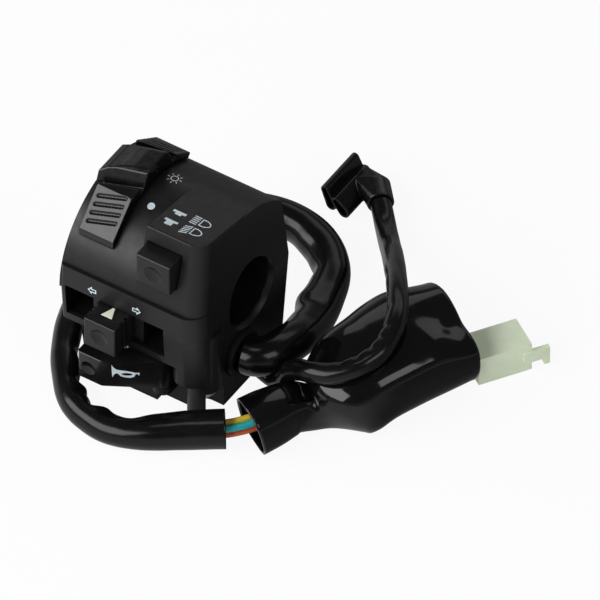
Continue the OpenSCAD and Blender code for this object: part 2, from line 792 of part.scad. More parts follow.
// Dip button
module dip_button() {
    p = [dip_x, -dip_front, dip_z];
    color("#19191a") difference() {
        union() {
            difference() {
                box(dip_x - dip_w / 2, dip_x + dip_w / 2, -dip_front, dip_flange_back, dip_z - dip_h / 2, dip_z + dip_h / 2);
                for (s = [-1, 1]) {
                    edge_cut(p + [s * dip_w / 2, 0, 0], [s, 0, 0], [0, -1, 0], 0.7);
                    edge_cut(p + [0, 0, s * dip_h / 2], [0, -1, 0], [0, 0, s], 0.7);
                }
            }
            box(hood_left + wall + slide_gap, dip_x + dip_w / 2 + dip_lip, dip_flange_front, dip_flange_back,
                dip_z - dip_h / 2 - dip_lip, dip_flange_top);
            y_cylinder(dip_stem_r, dip_x, dip_z, dip_flange_back - 1, dip_block_front + 2.5);
        }
        finger_dish(dip_x, -dip_front, dip_z, 3.2, 0.9);
    }
}

module dip_spring() {
    gap = 0.05;
    color("silver") translate([dip_x, dip_flange_back + gap, dip_z]) rotate([-90, 0, 0])
        coil(dip_stem_r + 0.9, 0.35, dip_block_front - dip_flange_back - 2 * gap, 5);
}

module dip_contact_block() {
    color("#6b4a2b") difference() {
        box(dip_x - dip_w / 2, dip_x + dip_w / 2, dip_block_front, dip_block_back,
            dip_z - dip_block_h / 2, dip_z + dip_block_h / 2);
        y_cylinder(dip_stem_r + pin_gap, dip_x, dip_z, -far, far);
        dip_posts(pin_gap, -2);
        // Notch beside the hood's left wall
        difference() {
            box(-far, hood_left + wall + slide_gap, -far, far, 0, far);
            bar_cylinder(dome_in - slide_gap, -far, far);
        }
    }
}

module dip_posts(extra, reach) {
    for (s = [-1, 1])
        y_cylinder(1 + extra, dip_x + s * 3.9, dip_z, dip_block_front + 2, dip_block_back + 3 + reach);
}

module dip_terminals() {
    color("goldenrod") dip_posts(0, 0);
}

// Turn switch
knob_x0 = slot_x - turn_knob_w / 2;
knob_x1 = slot_x + turn_knob_w / 2;
knob_z0 = slot_z - turn_knob_w / 2;
knob_z1 = slot_z + turn_knob_w / 2;
marker_w = 3.9;
marker_len = 4.3;
marker_t = 0.6;
module marker_outline(grow) {
    w = marker_w / 2 + grow;
    translate([slot_x, knob_front + 4 - grow])
        polygon([[-w, 0], [w, 0], [0.35, marker_len + 2 * grow], [-0.35, marker_len + 2 * grow]]);
}

module turn_knob() {
    p = [slot_x, knob_front, slot_z];
    h = turn_knob_w / 2;
    color("#19191a") difference() {
        box(knob_x0, knob_x1, knob_front, carriage_front, knob_z0, knob_z1);
        for (s = [-1, 1]) {
            edge_cut(p + [s * h, 0, 0], [s, 0, 0], [0, -1, 0], 0.6);
            edge_cut(p + [0, 0, s * h], [0, -1, 0], [0, 0, s], 0.6);
            // Grip grooves down both sides
            for (y = [3.6, 6])
                box(slot_x + s * h - 0.8, slot_x + s * h + 0.8, knob_front + y, knob_front + y + 1.2, -far, far);
        }
        finger_dish(slot_x, knob_front, slot_z, 3.2, 0.9);
        translate([0, 0, knob_z1 - marker_t]) linear_extrude(height = far) marker_outline(pin_gap);
    }
}

module turn_marker() {
    color("white") translate([0, 0, knob_z1 - marker_t]) linear_extrude(height = marker_t + 0.05) marker_outline(0);
}

module turn_carriage() {
    color("#d8d4c4") difference() {
        box(slot_x - carriage_w / 2, slot_x + carriage_w / 2, carriage_front, carriage_back,
            cavity_bottom + slide_gap, cavity_top - slide_gap);
        y_cylinder(turn_ball_r + 0.1, slot_x, turn_ball_z, carriage_back - turn_pocket_depth, far);
    }
}

turn_ball_y = turn_plate_back - plate_t - slide_gap - turn_ball_r;
module turn_detent_ball() {
    color("silver") translate([slot_x, turn_ball_y, turn_ball_z]) sphere(r = turn_ball_r);
}

module turn_detent_spring() {
    base = carriage_back - turn_pocket_depth;
    color("silver") translate([slot_x, base, turn_ball_z]) rotate([-90, 0, 0])
        coil(turn_ball_r - 0.4, 0.22, turn_ball_y - turn_ball_r - 0.1 - base, 4);
}

module turn_bridge() {
    color("goldenrod") box(slot_x - 6, slot_x + 6, carriage_back, carriage_back + bridge_t, 2, cavity_top - 1);
}

module turn_contact_plate() {
    color("#7a5a35") difference() {
        box(slot_left + slide_gap, slot_right - slide_gap, turn_plate_back - plate_t, turn_plate_back,
            cavity_bottom + slide_gap, cavity_top - slide_gap);
        turn_pads(pin_gap, far);
    }
}

module turn_pads(extra, reach) {
    for (s = [-1, 0, 1])
        y_cylinder(1.8 + extra, slot_x + s * turn_travel, 4, turn_plate_back - plate_t - (extra > 0 ? 1 : 0),
            turn_plate_back - 0.5);
}

module turn_terminals() {
    color("goldenrod") turn_pads(0, 0);
}

// Horn lever
function horn_pin_top() = -band_bottom + 1.5;

module horn_outline() {
    pad_right = horn_left + horn_pad_w;
    difference() {
        union() {
            translate([horn_x, -horn_y]) circle(horn_boss_r);
            polygon([
                [horn_left, -horn_front], [pad_right, -horn_front], [horn_x + 0.6, -horn_y - horn_boss_r],
                [horn_x - 0.6, -horn_y + horn_boss_r - 0.1], [pad_right, horn_back + 0.8], [horn_left, horn_back]
            ]);
        }
        translate([horn_x, -horn_y]) circle(horn_pin_r + pin_gap);
    }
}

module horn_lever() {
    p = [horn_left, -horn_front, horn_mid];
    color("#121213") difference() {
        union() {
            translate([0, 0, horn_top - horn_h]) linear_extrude(height = horn_h) horn_outline();
            y_cylinder(1.4, horn_spring_x, horn_mid, horn_back - 2, horn_back + 2.2);
        }
        edge_cut(p, [-1, 0, 0], [0, -1, 0], 1.2);
        edge_cut([0, -horn_front, horn_top], [0, -1, 0], [0, 0, 1], 0.7);
        edge_cut([0, -horn_front, horn_top - horn_h], [0, -1, 0], [0, 0, -1], 0.7);
        finger_dish(horn_left + horn_pad_w / 2, -horn_front, horn_mid, 2.6, 0.7);
        y_cylinder(1.6 + pin_gap, horn_contact_x, horn_mid, horn_back - 1.4, far);
    }
}

module horn_pivot_pin() {
    color("silver") translate([horn_x, -horn_y, horn_lug_top - horn_lug_t])
        cylinder(r = horn_pin_r, h = horn_pin_top() - horn_lug_top + horn_lug_t);
}

module horn_spring() {
    gap = 0.05;
    base = horn_back + 1.4;
    color("silver") translate([horn_spring_x, base, horn_mid]) rotate([-90, 0, 0])
        coil(2.1, 0.3, -lower_front - base - gap, 6);
}

module horn_contact() {
    color("goldenrod") y_cylinder(1.6, horn_contact_x, horn_mid, horn_back + 4.1, -lower_front + wall);
}

module horn_rivet() {
    color("goldenrod") y_cylinder(1.6, horn_contact_x, horn_mid, horn_back - 1.4, horn_back + 0.6);
}

// Outlet, cords and connectors
module grommet_disc(extra, x0, x1) {
    for (hole = [[outlet, neck_r], [lead_outlet, lead_neck_r]])
        translate([x0, hole[0][0], hole[0][1]]) rotate([0, 90, 0]) cylinder(r = hole[1] + extra, h = x1 - x0);
}

module harness_grommet() {
    color("#101010") difference() {
        union() {
            grommet_disc(0, x_right - wall - 1, x_right + 1);
            grommet_disc(flange_r - neck_r, x_right, x_right + flange_t);
            grommet_disc(flange_r - neck_r, x_right - wall - 1.2, x_right - wall);
        }
        translate([0, outlet[0], outlet[1]]) rotate([0, 90, 0]) cylinder(r = harness_r - sleeve_t, h = far);
        translate([0, lead_outlet[0], lead_outlet[1]]) rotate([0, 90, 0]) cylinder(r = 1.2, h = far);
        bar_cylinder(saddle_r + slide_gap, -far, x_right);
        screw_boss(front_screw, seat_r + seat_wall + slide_gap, -far, far);
    }
}

module harness_sleeve() {
    route = [for (p = harness_route) [p[0], p[1], p[2]]];
    radii = [for (p = harness_route) p[3]];
    color("#0c0c0c") hollow_tube(route, radii, radii, sleeve_t, 12, 2, [1, 0, 0]);
}

// One of the four harness wires, at an angle about the bundle's middle
module bundle_wire(a) {
    spread = wire_r * 1.5;
    route = [for (i = [0:len(bundle_route) - 1])
        let (t = along(bundle_route, i), u = side_of(t), v = cross(u, t))
        bundle_route[i] + spread * (cos(a) * u + sin(a) * v)];
    solid_tube(route, wire_r, 8);
}

module wire_yellow() {
    color("gold") bundle_wire(100);
}

module wire_teal() {
    color("#2fb5b0") bundle_wire(10);
}

module wire_white() {
    color("#c9ccd0") bundle_wire(190);
}

module wire_red() {
    color("#d8502a") bundle_wire(280);
}

module connector_sleeve() {
    color("#0b0b0b") hollow_tube(bag_route, [for (p = bag_route) p[3]], [for (p = bag_route) p[4]],
        sleeve_t, 16, 3);
}

// Places a piece in the connector's frame: X to the mating end, Z up from the floor
module on_connector() {
    translate([connector_at[0], connector_at[1], connector_floor]) rotate([0, 0, connector_turn]) children();
}

module connector_housing() {
    s = connector_s;
    w = connector_w / 2;
    color("#b9d3b4") on_connector() difference() {
        union() {
            box(s[0], s[1] + 1, -tail_w / 2, tail_w / 2, tail_lift, tail_lift + tail_h);
            box(s[1], s[2], -w, w, 0, connector_h);
            // Lug near the tail and the latch arm at the mating end
            box(s[1] - 2.6, s[1] - 1, w - 3.2, w - 0.6, tail_lift + tail_h - 1, connector_h + 2.4);
            box(s[1] - 2.6, s[1] + 0.4, w - 3.2, w - 0.6, connector_h + 1, connector_h + 2.4);
            box(s[2] - 3, s[2] + 5.6, -w - 0.9, -w + 0.7, connector_h * 0.35, connector_h * 0.75);
            box(s[2] + 3.8, s[2] + 5.6, -w - 0.9, -w + 0.7, connector_h * 0.12, connector_h * 0.75);
        }
        box(s[2] - socket_depth, far, -w + socket_wall, w - socket_wall, socket_wall, connector_h - socket_wall);
        pin_grid(pin_gap, 1);
    }
}

module pin_grid(extra, back) {
    for (y = [-3, 0, 3], z = [0.32, 0.68])
        translate([connector_s[2] - socket_depth - 3 - back, y, connector_h * z]) rotate([0, 90, 0])
            cylinder(r = 0.7 + extra, h = 3 + pin_len + back);
}

module connector_terminals() {
    color("goldenrod") on_connector() pin_grid(0, 0);
}

module clutch_wires() {
    color("#0e0e0e") for (s = [-1, 1]) solid_tube([for (p = clutch_route) p + [0, s * 1.15, 0]], lead_wire_r, 8);
}

module clutch_lead_sleeve() {
    radii = [for (p = lead_route) lead_r];
    color("#0c0c0c") hollow_tube(lead_route, radii, radii, sleeve_t, 10);
}

// Front view of one fin, made smaller by a wall
module fin_outline(fin, inset) {
    hull() for (c = fin) translate([c[0], c[1]]) circle(c[2] - inset, $fn = 20);
}

// Extrudes an outline drawn in X and Z, from the floor up, along +Y
module boot_run(from, length) {
    translate([0, boot_front + from + length, -base_depth]) rotate([90, 0, 0])
        linear_extrude(height = length) children();
}

module boot_collar() {
    translate(collar_at) rotate([0, 0, collar_turn]) rotate([0, 90, 0])
        cylinder(r = collar_r, h = collar_len, $fn = 24);
}

// Two upright fins on a web, the right one spread at its back over the elbow that takes the lead
module clutch_boot() {
    feet = [for (fin = boot_fins) fin[1]];
    color("#0d0d0d") difference() {
        union() {
            for (fin = boot_fins) boot_run(0, boot_len) fin_outline(fin, 0);
            boot_run(1, boot_len - 1.5) hull()
                for (c = feet) translate([c[0], c[1]]) circle(c[2] - boot_wall, $fn = 20);
            hull() {
                boot_run(boot_len - 6.5, 6) fin_outline(boot_fins[1], 0.1);
                boot_collar();
            }
        }
        for (fin = boot_fins) boot_run(-1, channel_depth + 1) fin_outline(fin, boot_wall);
    }
}

module clutch_terminals() {
    color("goldenrod") for (fin = boot_fins)
        translate([fin[1][0], boot_front + 3, fin[1][1] - base_depth]) rotate([-90, 0, 0])
            cylinder(r = fin[1][2] - boot_wall - slide_gap, h = channel_depth - 3);
}

upper_housing();
lower_housing();
housing_screws();
light_lever();
light_rotor();
light_contact_plate();
light_terminals();
light_bridge();
light_detent_ball();
light_detent_spring();
dip_button();
dip_spring();
dip_contact_block();
dip_terminals();
turn_knob();
turn_marker();
turn_carriage();
turn_contact_plate();
turn_terminals();
turn_bridge();
turn_detent_ball();
turn_detent_spring();
horn_lever();
horn_pivot_pin();
horn_spring();
horn_contact();
horn_rivet();
harness_grommet();
harness_sleeve();
wire_yellow();
wire_teal();
wire_white();
wire_red();
connector_sleeve();
connector_housing();
connector_terminals();
clutch_wires();
clutch_lead_sleeve();
clutch_boot();
clutch_terminals();
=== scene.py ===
import math

import bmesh
import bpy
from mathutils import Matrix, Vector, noise
from mathutils.bvhtree import BVHTree


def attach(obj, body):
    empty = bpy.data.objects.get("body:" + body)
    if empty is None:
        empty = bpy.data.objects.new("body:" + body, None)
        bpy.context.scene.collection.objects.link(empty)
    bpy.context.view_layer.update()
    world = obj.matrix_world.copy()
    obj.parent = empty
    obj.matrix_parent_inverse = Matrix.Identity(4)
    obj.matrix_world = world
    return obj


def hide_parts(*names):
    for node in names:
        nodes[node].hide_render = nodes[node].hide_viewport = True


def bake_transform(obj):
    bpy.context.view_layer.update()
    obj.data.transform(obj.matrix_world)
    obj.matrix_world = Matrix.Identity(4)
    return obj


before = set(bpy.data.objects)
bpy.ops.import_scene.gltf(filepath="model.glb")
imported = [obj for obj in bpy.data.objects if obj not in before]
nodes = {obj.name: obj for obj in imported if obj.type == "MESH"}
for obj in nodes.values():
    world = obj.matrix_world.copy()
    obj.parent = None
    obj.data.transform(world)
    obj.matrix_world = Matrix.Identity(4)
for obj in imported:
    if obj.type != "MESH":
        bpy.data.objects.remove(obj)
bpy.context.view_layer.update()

scene = bpy.context.scene
MM = 0.001
# Heights in millimetres: the stage's floor, and the lowest that the sleeves reach
FLOOR_TOP = -35.02
FLOOR_LEVEL = -34.98


def direction(azimuth, elevation):
    """Way from the part to a lamp or camera; azimuth 0 is the front and grows to the right, in degrees."""
    a, e = math.radians(azimuth), math.radians(elevation)
    return Vector((math.sin(a) * math.cos(e), -math.cos(a) * math.cos(e), math.sin(e)))


# Camera: the photograph's direction, seen from far away
AZIMUTH, ELEVATION = 33, 45
REACH = 7.0
PIXELS, PIXELS_PER_METRE = 600, 3300.0
SENSOR_WIDTH = 36
LOOK = Vector((0.0282, 0.0220, -0.0200))
TOWARD = direction(AZIMUTH, ELEVATION)
RIGHT = Vector((math.cos(math.radians(AZIMUTH)), math.sin(math.radians(AZIMUTH)), 0))
UP = TOWARD.cross(RIGHT)
camera_data = bpy.data.cameras.new("camera")
camera_data.lens = REACH * SENSOR_WIDTH * PIXELS_PER_METRE / PIXELS
camera_data.clip_end = 50
camera = bpy.data.objects.new("camera", camera_data)
scene.collection.objects.link(camera)
camera.location = LOOK + REACH * TOWARD
camera.rotation_euler = (-TOWARD).to_track_quat("-Z", "Y").to_euler()
scene.camera = camera
scene.view_settings.view_transform = "Standard"


# Materials
def material(name):
    """A new material, its node tree and its main shader."""
    m = bpy.data.materials.new(name)
    m.use_nodes = True
    tree = m.node_tree
    return m, tree, tree.nodes["Principled BSDF"]


def place(tree, scale=(1, 1, 1)):
    """Texture coordinates fixed to the piece, in metres."""
    coord = tree.nodes.new("ShaderNodeTexCoord")
    mapping = tree.nodes.new("ShaderNodeMapping")
    mapping.inputs["Scale"].default_value = scale
    tree.links.new(coord.outputs["Object"], mapping.inputs["Vector"])
    return mapping.outputs["Vector"]


def grain(tree, vector, scale, detail=3.0, rough=0.55):
    n = tree.nodes.new("ShaderNodeTexNoise")
    n.inputs["Scale"].default_value = scale
    n.inputs["Detail"].default_value = detail
    n.inputs["Roughness"].default_value = rough
    tree.links.new(vector, n.inputs["Vector"])
    return n.outputs["Fac"]


def spread(tree, value, low, high, start=0.3, end=0.7):
    """Maps start..end of a value to low..high."""
    n = tree.nodes.new("ShaderNodeMapRange")
    n.inputs["From Min"].default_value = start
    n.inputs["From Max"].default_value = end
    n.inputs["To Min"].default_value = low
    n.inputs["To Max"].default_value = high
    tree.links.new(value, n.inputs["Value"])
    return n.outputs["Result"]


def shade(tree, value, low, high, start=0.35, end=0.65):
    """A colour between low and high."""
    n = tree.nodes.new("ShaderNodeValToRGB")
    n.color_ramp.elements[0].position = start
    n.color_ramp.elements[0].color = (*low, 1)
    n.color_ramp.elements[1].position = end
    n.color_ramp.elements[1].color = (*high, 1)
    tree.links.new(value, n.inputs["Fac"])
    return n.outputs["Color"]


def bump(tree, bsdf, *layers):
    """Layers of relief, each as (height, strength, distance)."""
    normal = None
    for height, strength, distance in layers:
        n = tree.nodes.new("ShaderNodeBump")
        n.inputs["Strength"].default_value = strength
        n.inputs["Distance"].default_value = distance
        tree.links.new(height, n.inputs["Height"])
        if normal is not None:
            tree.links.new(normal, n.inputs["Normal"])
        normal = n.outputs["Normal"]
    tree.links.new(normal, bsdf.inputs["Normal"])


def combine(tree, operation, a, b):
    """One sum on two sockets, or on a socket and a number."""
    n = tree.nodes.new("ShaderNodeMath")
    n.operation = operation
    for socket, value in zip(n.inputs, (a, b)):
        if isinstance(value, float):
            socket.default_value = value
        else:
            tree.links.new(value, socket)
    return n.outputs["Value"]


def mixed(tree, factor, a, b):
    """Colour a, with b over it by factor."""
    n = tree.nodes.new("ShaderNodeMix")
    n.data_type = "RGBA"
    tree.links.new(factor, n.inputs["Factor"])
    tree.links.new(a, n.inputs["A"])
    n.inputs["B"].default_value = (*b, 1)
    return n.outputs["Result"]


def worn(tree, color, tone, amount):
    """Lightens edges a little where the mesh is convex."""
    geometry = tree.nodes.new("ShaderNodeNewGeometry")
    edge = spread(tree, geometry.outputs["Pointiness"], 0.0, amount, 0.52, 0.62)
    return mixed(tree, edge, color, tone)


# ambient occlusion, used to paint shade into the shine of moulded plastic
def occlusion_shade(tree, reach):
    """1 on open faces, less where something stands within reach, in mm."""
    n = tree.nodes.new("ShaderNodeAmbientOcclusion")
    n.samples = 8
    n.inputs["Distance"].default_value = reach * MM
    return n.outputs["AO"]


def moulded(name, low, high, rough, grain_mm, depth, level=0.5):
    """Satin moulded plastic with a fine eroded grain, and painted shade that dims its shine in grooves and
    hollows.
    """
    m, tree, bsdf = material(name)
    vector = place(tree)
    fine = grain(tree, vector, 1 / (grain_mm * MM), 2.0, 0.6)
    cloud = grain(tree, vector, 90, 4.0, 0.6)
    rub = grain(tree, vector, 420, 3.0, 0.65)
    color = shade(tree, cloud, low, high)
    color = worn(tree, color, tuple(2.0 * c + 0.004 for c in high), 0.5)
    tree.links.new(color, bsdf.inputs["Base Color"])
    tree.links.new(spread(tree, rub, rough - 0.07, rough + 0.07), bsdf.inputs["Roughness"])
    # painted shade: ambient occlusion dims the shine in grooves and hollows, and within 24 mm of other
    # parts and the floor
    groove_shade = spread(tree, occlusion_shade(tree, 1.5), 0.1, 1.0, 0.45, 0.9)
    hollow_shade = spread(tree, occlusion_shade(tree, 24), 0.3 * level, level, 0.35, 0.85)
    tree.links.new(combine(tree, "MULTIPLY", groove_shade, hollow_shade), bsdf.inputs["Specular IOR Level"])
    bump(tree, bsdf, (fine, depth, 0.03 * MM), (cloud, 0.12, 0.2 * MM))
    return m


def glossy(name, low, high, rough, wave, depth, level=0.42):
    """Soft PVC film: smooth, glossy, with slow waves and faint scuffs."""
    m, tree, bsdf = material(name)
    vector = place(tree)
    slow = grain(tree, vector, wave, 2.0, 0.5)
    scuff = grain(tree, place(tree, (1, 1, 2.5)), 700, 4.0, 0.7)
    tree.links.new(shade(tree, slow, low, high), bsdf.inputs["Base Color"])
    tree.links.new(spread(tree, scuff, rough - 0.04, rough + 0.07, 0.35, 0.75), bsdf.inputs["Roughness"])
    bsdf.inputs["Specular IOR Level"].default_value = level
    bump(tree, bsdf, (slow, depth, 0.6 * MM), (scuff, 0.05, 0.02 * MM))
    return m


def nylon(name, low, high):
    """Natural nylon: cloudy, slightly see-through."""
    m, tree, bsdf = material(name)
    vector = place(tree)
    cloud = grain(tree, vector, 160, 4.0, 0.6)
    fine = grain(tree, vector, 1800, 2.0, 0.5)
    tree.links.new(shade(tree, cloud, low, high, 0.3, 0.7), bsdf.inputs["Base Color"])
    tree.links.new(spread(tree, fine, 0.34, 0.46), bsdf.inputs["Roughness"])
    bsdf.inputs["Subsurface Weight"].default_value = 0.35
    bsdf.inputs["Subsurface Radius"].default_value = (1.0, 1.0, 0.8)
    bsdf.inputs["Subsurface Scale"].default_value = 0.0012
    bump(tree, bsdf, (fine, 0.1, 0.03 * MM))
    return m


def metal(name, low, high, rough):
    """Plain metal with faint tarnish."""
    m, tree, bsdf = material(name)
    vector = place(tree)
    fine = grain(tree, vector, 1500, 3.0, 0.6)
    tarnish = grain(tree, vector, 260, 4.0, 0.6)
    tree.links.new(shade(tree, tarnish, low, high), bsdf.inputs["Base Color"])
    tree.links.new(spread(tree, fine, rough - 0.06, rough + 0.1), bsdf.inputs["Roughness"])
    bsdf.inputs["Metallic"].default_value = 1.0
    bump(tree, bsdf, (fine, 0.15, 0.02 * MM))
    return m


def insulation(name, low, high):
    """Hard plastic, print or wire insulation, in one colour with slight clouds."""
    m, tree, bsdf = material(name)
    vector = place(tree)
    cloud = grain(tree, vector, 300, 3.0, 0.5)
    fine = grain(tree, vector, 2500, 2.0, 0.5)
    tree.links.new(shade(tree, cloud, low, high, 0.3, 0.7), bsdf.inputs["Base Color"])
    tree.links.new(spread(tree, fine, 0.3, 0.42), bsdf.inputs["Roughness"])
    bump(tree, bsdf, (fine, 0.08, 0.02 * MM))
    return m


SHELL = moulded("shell", (0.0032, 0.0032, 0.0033), (0.0048, 0.0047, 0.0046), 0.38, 0.32, 0.3, 0.36)
CONTROL = moulded("control", (0.0044, 0.0044, 0.0046), (0.0064, 0.0063, 0.0063), 0.34, 0.28, 0.2, 0.40)
LEVER = moulded("lever", (0.0036, 0.0036, 0.0037), (0.0054, 0.0053, 0.0053), 0.22, 0.4, 0.1, 0.5)
PADDLE = moulded("paddle", (0.0032, 0.0032, 0.0034), (0.0046, 0.0045, 0.0045), 0.17, 0.5, 0.06)
SEAL = moulded("seal", (0.0050, 0.0049, 0.0048), (0.0080, 0.0078, 0.0075), 0.48, 0.4, 0.25, 0.4)
BOOT = moulded("boot", (0.0036, 0.0036, 0.0036), (0.0054, 0.0053, 0.0052), 0.20, 0.8, 0.06)
SLEEVING = glossy("sleeving", (0.0034, 0.0032, 0.0032), (0.0054, 0.0050, 0.0049), 0.18, 110, 0.03, 0.3)
BAG = glossy("bag", (0.0030, 0.0029, 0.0029), (0.0044, 0.0042, 0.0041), 0.09, 70, 0.015)
LEAD = glossy("lead", (0.0038, 0.0036, 0.0035), (0.0056, 0.0053, 0.0052), 0.2, 120, 0.012, 0.3)
NYLON = nylon("nylon", (0.78, 0.89, 0.64), (0.88, 0.96, 0.76))
INLAY = insulation("inlay", (0.74, 0.73, 0.60), (0.83, 0.82, 0.71))
PRINT = insulation("print", (0.55, 0.64, 0.69), (0.66, 0.75, 0.80))
STEEL = metal("steel", (0.46, 0.46, 0.47), (0.62, 0.62, 0.63), 0.30)
BRASS = metal("brass", (0.60, 0.42, 0.16), (0.78, 0.58, 0.26), 0.28)
TIN = metal("tin", (0.55, 0.55, 0.54), (0.74, 0.73, 0.71), 0.25)
CARRIER = insulation("carrier", (0.60, 0.58, 0.50), (0.72, 0.70, 0.62))
BOARD = insulation("board", (0.050, 0.030, 0.014), (0.085, 0.052, 0.025))
YELLOW = insulation("yellow_wire", (0.66, 0.46, 0.02), (0.80, 0.58, 0.04))
TEAL = insulation("teal_wire", (0.01, 0.36, 0.38), (0.02, 0.48, 0.50))
WHITE = insulation("white_wire", (0.62, 0.61, 0.58), (0.76, 0.75, 0.72))
RED = insulation("red_wire", (0.55, 0.075, 0.02), (0.72, 0.13, 0.04))


# Routes, the same points as the part's own, in millimetres. A fourth number is the half width there,
# and a fifth the half height
HARNESS = [
    (27.35, -7.5, -18.7, 6.2), (30.9, -6.5, -18.75, 6.2), (33.5, -3.7, -19.1, 6.2), (34.5, 0.5, -19.9, 6.2),
    (34.7, 8, -22.2, 6.2), (33.8, 16, -25.2, 6.2), (31.9, 25, -27.9, 6.2), (29.2, 34, -28.8, 6.2),
    (25, 44, -28.8, 6.2), (17, 52, -28.8, 6.2), (5, 56.5, -29, 6), (-9, 55, -29.3, 5.7),
    (-21, 47, -29.6, 5.4), (-30, 34, -29.9, 5.1), (-34.5, 18, -30.2, 4.8), (-34.5, 2, -30.4, 4.6),
    (-31.5, -13, -30.5, 4.5), (-25.5, -26, -30.6, 4.4), (-19.5, -34.5, -30.6, 4.4),
    (-11, -43.2, -30.5, 4.5), (0, -46.9, -30.3, 4.7), (8, -46, -30, 5), (16.7, -41.6, -29.4, 5.6),
    (26, -35, -28.9, 6.1), (34.5, -29, -28.8, 6.2),
]
BUNDLE = [
    (28.1, -34, -28.8), (34.5, -29.2, -28.6), (39, -25.2, -27.8), (43.3, -19.5, -27), (47, -12, -27.4),
    (52, -6.5, -28.5), (57, 0, -27.6), (64.4, 11.5, -28), (71.6, 23.45, -29.2), (73.8, 26.79, -29.2),
]
CLUTCH = [
    (27.3, -4.5, -25.8), (28.8, -4.5, -25.8), (32, -4.2, -27.2), (36, -5, -27.3), (40.3, -6, -23.6),
    (43, -6.2, -18.5), (47, -6.6, -15.6), (52, -7.6, -13.2), (54.5, -6.85, -12.6),
]
LEAD_ROUTE = [
    (43, -6.2, -18.5), (47, -6.6, -15.6), (52, -7.6, -13.2), (58.5, -5.6, -11.6), (64, -1, -9.4),
    (67, 6, -7.6), (66.4, 14, -6.4), (63, 22.5, -6.3), (57.5, 31, -8), (50, 41.5, -12.6),
    (42, 52.5, -19.4), (34, 63, -27), (27, 71.8, -31), (20.4, 79.3, -30.7),
]
BAG_ROUTE = [
    (41.7, -26.1, -26.2, 8.7, 8.7), (44, -20, -26.4, 8.5, 8.5), (47.2, -12, -27.1, 7.6, 7.6),
    (52, -6.5, -28.2, 6.8, 6.7), (55.5, 0, -24.8, 13.4, 10), (58.4, 7, -23, 16.2, 11.8),
    (61.6, 14.5, -22.6, 17, 12.3), (65, 22.5, -22.6, 17, 12.3), (68.8, 30.5, -22.8, 16.6, 12.1),
    (72.7, 38.6, -23.2, 16, 11.7),
]


STEPS = 24


def curve_through(points, step):
    """Points about step apart on a smooth curve through the given ones; extra numbers are carried along."""
    n = len(points)
    dense = []
    for i in range(n - 1):
        p0, p1 = points[max(i - 1, 0)], points[i]
        p2, p3 = points[i + 1], points[min(i + 2, n - 1)]
        span = math.dist(p1[:3], p2[:3])
        before = math.dist(p0[:3], p1[:3]) or span
        after = math.dist(p2[:3], p3[:3]) or span
        for k in range(STEPS):
            t = k / STEPS
            h = (2 * t**3 - 3 * t**2 + 1, t**3 - 2 * t**2 + t, -2 * t**3 + 3 * t**2, t**3 - t**2)
            row = []
            for a, b, c, d in zip(p0, p1, p2, p3):
                m1 = span * ((c - a) / (span + before)) if i > 0 else c - b
                m2 = span * ((d - b) / (span + after)) if i < n - 2 else c - b
                row.append(h[0] * b + h[1] * m1 + h[2] * c + h[3] * m2)
            dense.append(row)
    dense.append(list(points[-1]))
    lengths = [0.0]
    for a, b in zip(dense, dense[1:]):
        lengths.append(lengths[-1] + math.dist(a[:3], b[:3]))
    count = max(2, round(lengths[-1] / step))
    out, j = [], 0
    for k in range(count + 1):
        want = lengths[-1] * k / count
        while j < len(lengths) - 2 and lengths[j + 1] < want:
            j += 1
        t = (want - lengths[j]) / max(lengths[j + 1] - lengths[j], 1e-9)
        out.append([a + t * (b - a) for a, b in zip(dense[j], dense[j + 1])])
    return out


def length_of(path):
    """Length along a path."""
    return sum(math.dist(a[:3], b[:3]) for a, b in zip(path, path[1:]))


def headings(path):
    """Along, side and up for each point of a path that is never steep."""
    out = []
    for i in range(len(path)):
        a, b = path[max(i - 1, 0)], path[min(i + 1, len(path) - 1)]
        t = (Vector(b[:3]) - Vector(a[:3])).normalized()
        side = t.cross(Vector((0, 0, 1))).normalized()
        out.append((t, side, side.cross(t)))
    return out


def new_object(name, data, mat, body):
    """A piece of its own that goes with a body and takes its finish from a slot."""
    o = bpy.data.objects.new(name, data)
    scene.collection.objects.link(o)
    data.materials.append(mat)
    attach(o, body)
    return o


def tube(name, rings, inner, mat):
    """Skin through rings of points in mm, with its inner wall, open at both ends."""
    bm = bmesh.new()
    skins = []
    for rows in (rings, inner):
        skins.append([[bm.verts.new(Vector(p) * MM) for p in row] for row in rows])
    m = len(rings[0])
    for k, rows in enumerate(skins):
        for a, b in zip(rows, rows[1:]):
            for i in range(m):
                j = (i + 1) % m
                quad = [a[i], a[j], b[j], b[i]]
                bm.faces.new(quad if k else quad[::-1])
    for end in (0, -1):
        for i in range(m):
            j = (i + 1) % m
            bm.faces.new([skins[0][end][i], skins[0][end][j], skins[1][end][j], skins[1][end][i]])
    bmesh.ops.recalc_face_normals(bm, faces=bm.faces)
    mesh = bpy.data.meshes.new(name)
    bm.to_mesh(mesh)
    bm.free()
    mesh.shade_smooth()
    return new_object(name, mesh, mat, "housing")


def bell(x, width):
    """1 at 0, falling to both sides."""
    return math.exp(-(x / width) ** 2)


def around(a, angle, wide):
    """1 where direction a of a section, in radians, is at angle; wide and angle are in degrees."""
    turn = (a - math.radians(angle) + math.pi) % (2 * math.pi) - math.pi
    return bell(turn, math.radians(wide))


def smooth(x, a, b):
    """0 up to a, 1 from b on, smooth between."""
    t = min(max((x - a) / (b - a), 0), 1)
    return t * t * (3 - 2 * t)


